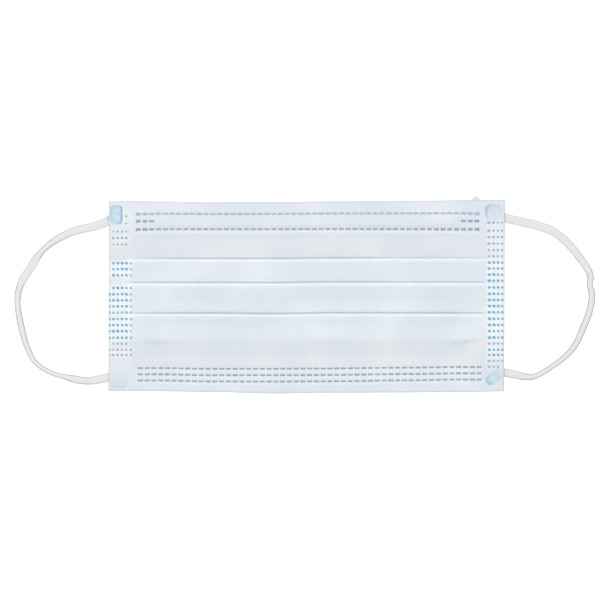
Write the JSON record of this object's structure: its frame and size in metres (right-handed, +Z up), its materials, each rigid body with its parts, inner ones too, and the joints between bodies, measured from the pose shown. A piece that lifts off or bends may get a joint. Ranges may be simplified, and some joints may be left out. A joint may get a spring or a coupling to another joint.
{
  "type": "surgical face mask",
  "caption": "Pleated surgical face mask lying flat, wearer's side up, with welded seams, a wire in its nose hem and two elastic ear loops.",
  "frame": {"origin": "on the surface that the mask lies on, under the middle of its folded body, ear loops left out", "axes": "+X along the mask towards its right side as seen from above, +Y towards the nose edge, +Z up, out of the wearer's side"},
  "size_m": [0.2569, 0.088, 0.0074],
  "materials": {
    "mask_body": "matt spunbond cloth, white with the pale blue outer ply showing through",
    "nose_wire": "white plastic over a steel core",
    "ear_loop": "white knitted elastic with ribs along it"
  },
  "bodies": {
    "root": {"mask_body": "mask_body", "nose_wire": "nose_wire", "ear_loop_left": "ear_loop", "ear_loop_right": "ear_loop"}
  },
  "joints": []
}
